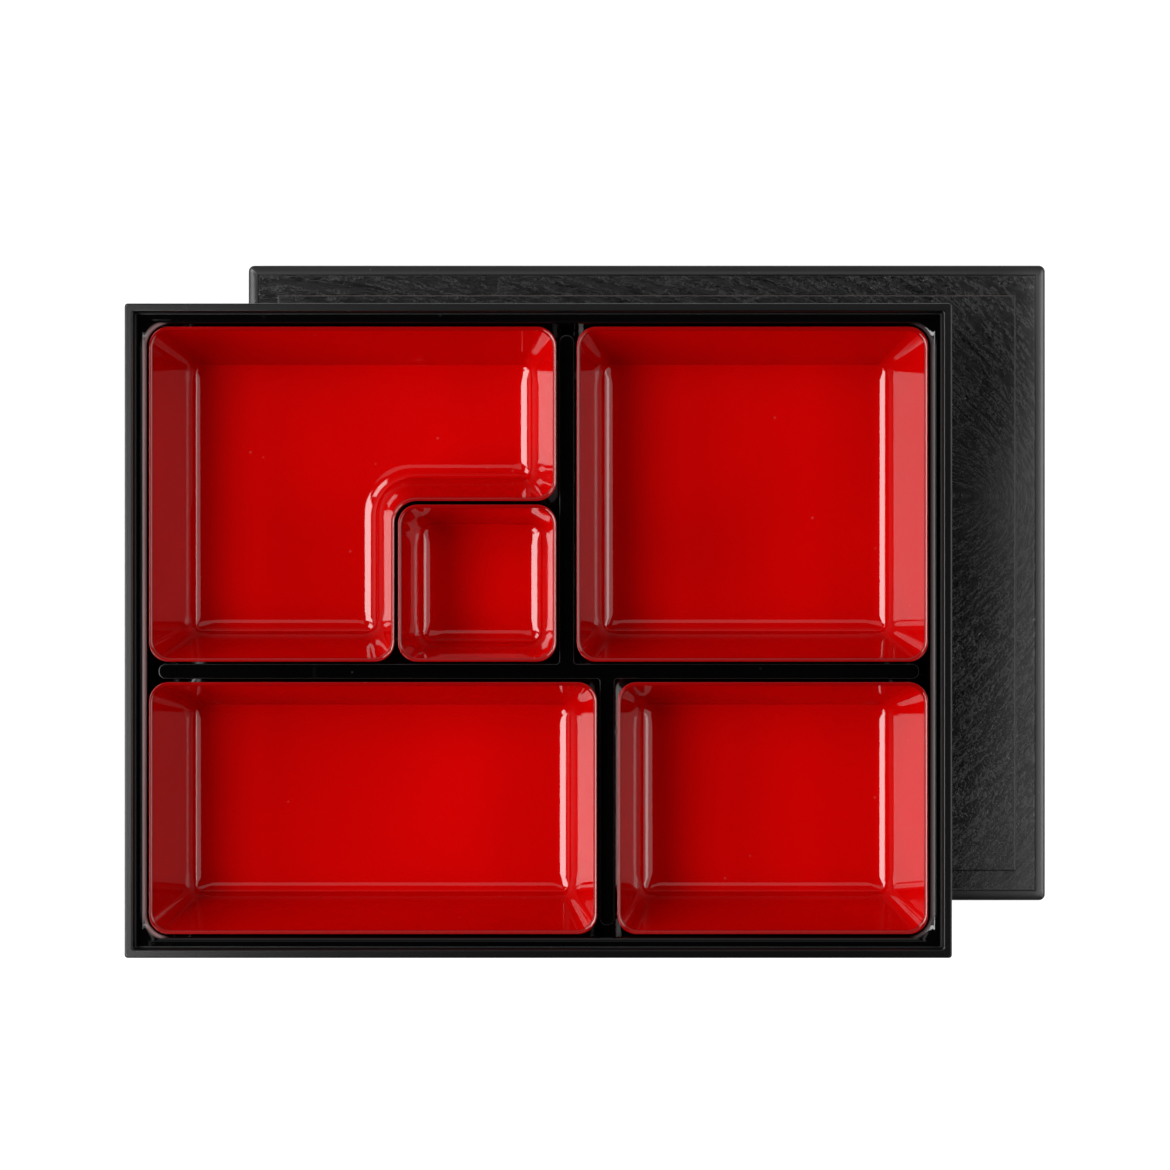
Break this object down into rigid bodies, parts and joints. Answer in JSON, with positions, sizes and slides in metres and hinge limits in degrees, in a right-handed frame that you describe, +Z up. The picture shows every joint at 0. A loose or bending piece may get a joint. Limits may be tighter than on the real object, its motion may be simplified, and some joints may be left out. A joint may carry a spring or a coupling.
{
  "type": "shokado bento box",
  "caption": "Rectangular bento box with a raised rim and ledge, a loose divider, lift-out food trays and a sauce cup, standing on its wood-grained lid.",
  "frame": {"origin": "on the table, under the middle of the whole set's bounding box", "axes": "+X along the box's long side, +Y away from the diner, +Z up"},
  "size_m": [0.3142, 0.2358, 0.0738],
  "materials": {
    "black_lacquer": "smooth satin black",
    "grained_black": "black with embossed wood grain",
    "red_lacquer": "gloss vermilion red"
  },
  "bodies": {
    "lid": {"lid": "grained_black"},
    "outer_box": {"outer_box": "black_lacquer"},
    "divider": {"divider": "black_lacquer"},
    "l_shaped_tray": {"l_shaped_tray": "red_lacquer"},
    "sauce_cup": {"sauce_cup": "red_lacquer"},
    "square_tray": {"square_tray": "red_lacquer"},
    "long_tray": {"long_tray": "red_lacquer"},
    "small_tray": {"small_tray": "red_lacquer"}
  },
  "joints": [
    {"name": "box_lift", "type": "slide", "parent": "lid", "child": "outer_box", "axis": [0, 0, 1], "range_m": [0, 0.06]},
    {"name": "divider_lift", "type": "slide", "parent": "outer_box", "child": "divider", "axis": [0, 0, 1], "range_m": [0, 0.06]},
    {"name": "l_shaped_tray_lift", "type": "slide", "parent": "outer_box", "child": "l_shaped_tray", "axis": [0, 0, 1], "range_m": [0, 0.06]},
    {"name": "sauce_cup_lift", "type": "slide", "parent": "outer_box", "child": "sauce_cup", "axis": [0, 0, 1], "range_m": [0, 0.06]},
    {"name": "square_tray_lift", "type": "slide", "parent": "outer_box", "child": "square_tray", "axis": [0, 0, 1], "range_m": [0, 0.06]},
    {"name": "long_tray_lift", "type": "slide", "parent": "outer_box", "child": "long_tray", "axis": [0, 0, 1], "range_m": [0, 0.06]},
    {"name": "small_tray_lift", "type": "slide", "parent": "outer_box", "child": "small_tray", "axis": [0, 0, 1], "range_m": [0, 0.06]}
  ]
}
